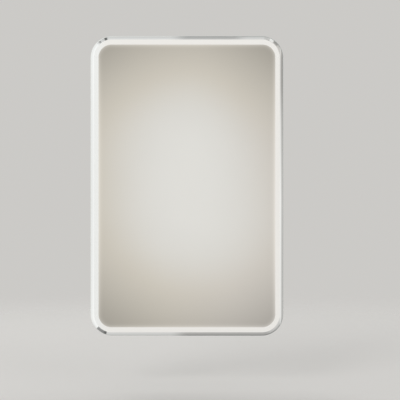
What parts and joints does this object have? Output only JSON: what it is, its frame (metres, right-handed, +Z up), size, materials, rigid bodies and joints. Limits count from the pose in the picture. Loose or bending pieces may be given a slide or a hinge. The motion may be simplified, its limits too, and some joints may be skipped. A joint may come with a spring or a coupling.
{
  "type": "lighted bathroom mirror",
  "caption": "Frameless wall mirror with round corners, bevelled edge, an etched light band lit from behind, and a hook rail behind it.",
  "frame": {"origin": "middle of the wall bracket's two fixing holes, on the wall plane, 120 mm below the top of the glass", "axes": "+Z up, the mirror faces -Y, +X to the right as seen from the front, the wall is the plane Y = 0"},
  "size_m": [0.45, 0.04, 0.7],
  "materials": {
    "clear_glass": "polished",
    "silvering": "polished mirror",
    "etched_glass": "frosted, lit from behind",
    "black_foam": "matte",
    "anodised_frame": "satin anodised",
    "grey_nylon": "moulded",
    "opal_acrylic": "opal",
    "white_board": "solder mask",
    "zinc_screws": "zinc plated",
    "white_wire": "insulation",
    "coated_steel": "powder coated",
    "black_rubber": "matte",
    "white_nylon": "moulded",
    "driver_case": "extruded",
    "driver_caps": "moulded",
    "brass": "machined",
    "heater_film": "polyester film",
    "switch_plastic": "moulded",
    "switch_lens": "smoked",
    "galvanised": "galvanised",
    "rivet_metal": "satin"
  },
  "bodies": {
    "wall_bracket": {"wall_bracket": "galvanised"},
    "mirror_unit": {"mirror_glass": "clear_glass", "silver_coating": "silvering", "etched_band": "etched_glass", "foam_tape": "black_foam", "edge_seal": "black_rubber", "demister_pad": "heater_film", "frame_rail_top": "anodised_frame", "frame_rail_right": "anodised_frame", "frame_rail_bottom": "anodised_frame", "frame_rail_left": "anodised_frame", "frame_corner_top_right": "grey_nylon", "frame_corner_bottom_right": "grey_nylon", "frame_corner_bottom_left": "grey_nylon", "frame_corner_top_left": "grey_nylon", "diffuser_ring": "opal_acrylic", "led_bar_top": "white_board", "led_bar_right": "white_board", "led_bar_bottom": "white_board", "led_bar_left": "white_board", "led_bar_screws": "zinc_screws", "led_jumpers": "white_wire", "back_plate": "coated_steel", "back_plate_screws": "zinc_screws", "access_cover": "coated_steel", "access_cover_gasket": "black_rubber", "access_cover_screws": "zinc_screws", "cable_grommet": "black_rubber", "terminal_block": "white_nylon", "terminal_screws": "zinc_screws", "led_driver": "driver_case", "driver_end_cap_left": "driver_caps", "driver_end_cap_right": "driver_caps", "driver_screws": "zinc_screws", "earth_post": "brass", "earth_screw": "zinc_screws", "sensor_housing": "switch_plastic", "sensor_bezel": "switch_plastic", "sensor_lens": "switch_lens", "lead_mains": "black_rubber", "lead_led": "white_wire", "lead_sensor": "white_wire", "lead_demister": "white_wire", "lead_earth": "white_wire", "cable_clips": "white_nylon", "hanger_rail": "galvanised", "hanger_rivets": "rivet_metal", "wall_bumpers": "black_rubber"}
  },
  "joints": [
    {"name": "lift_off", "type": "slide", "parent": "wall_bracket", "child": "mirror_unit", "axis": [0, 0, 1], "range_m": [0, 0.014]}
  ]
}
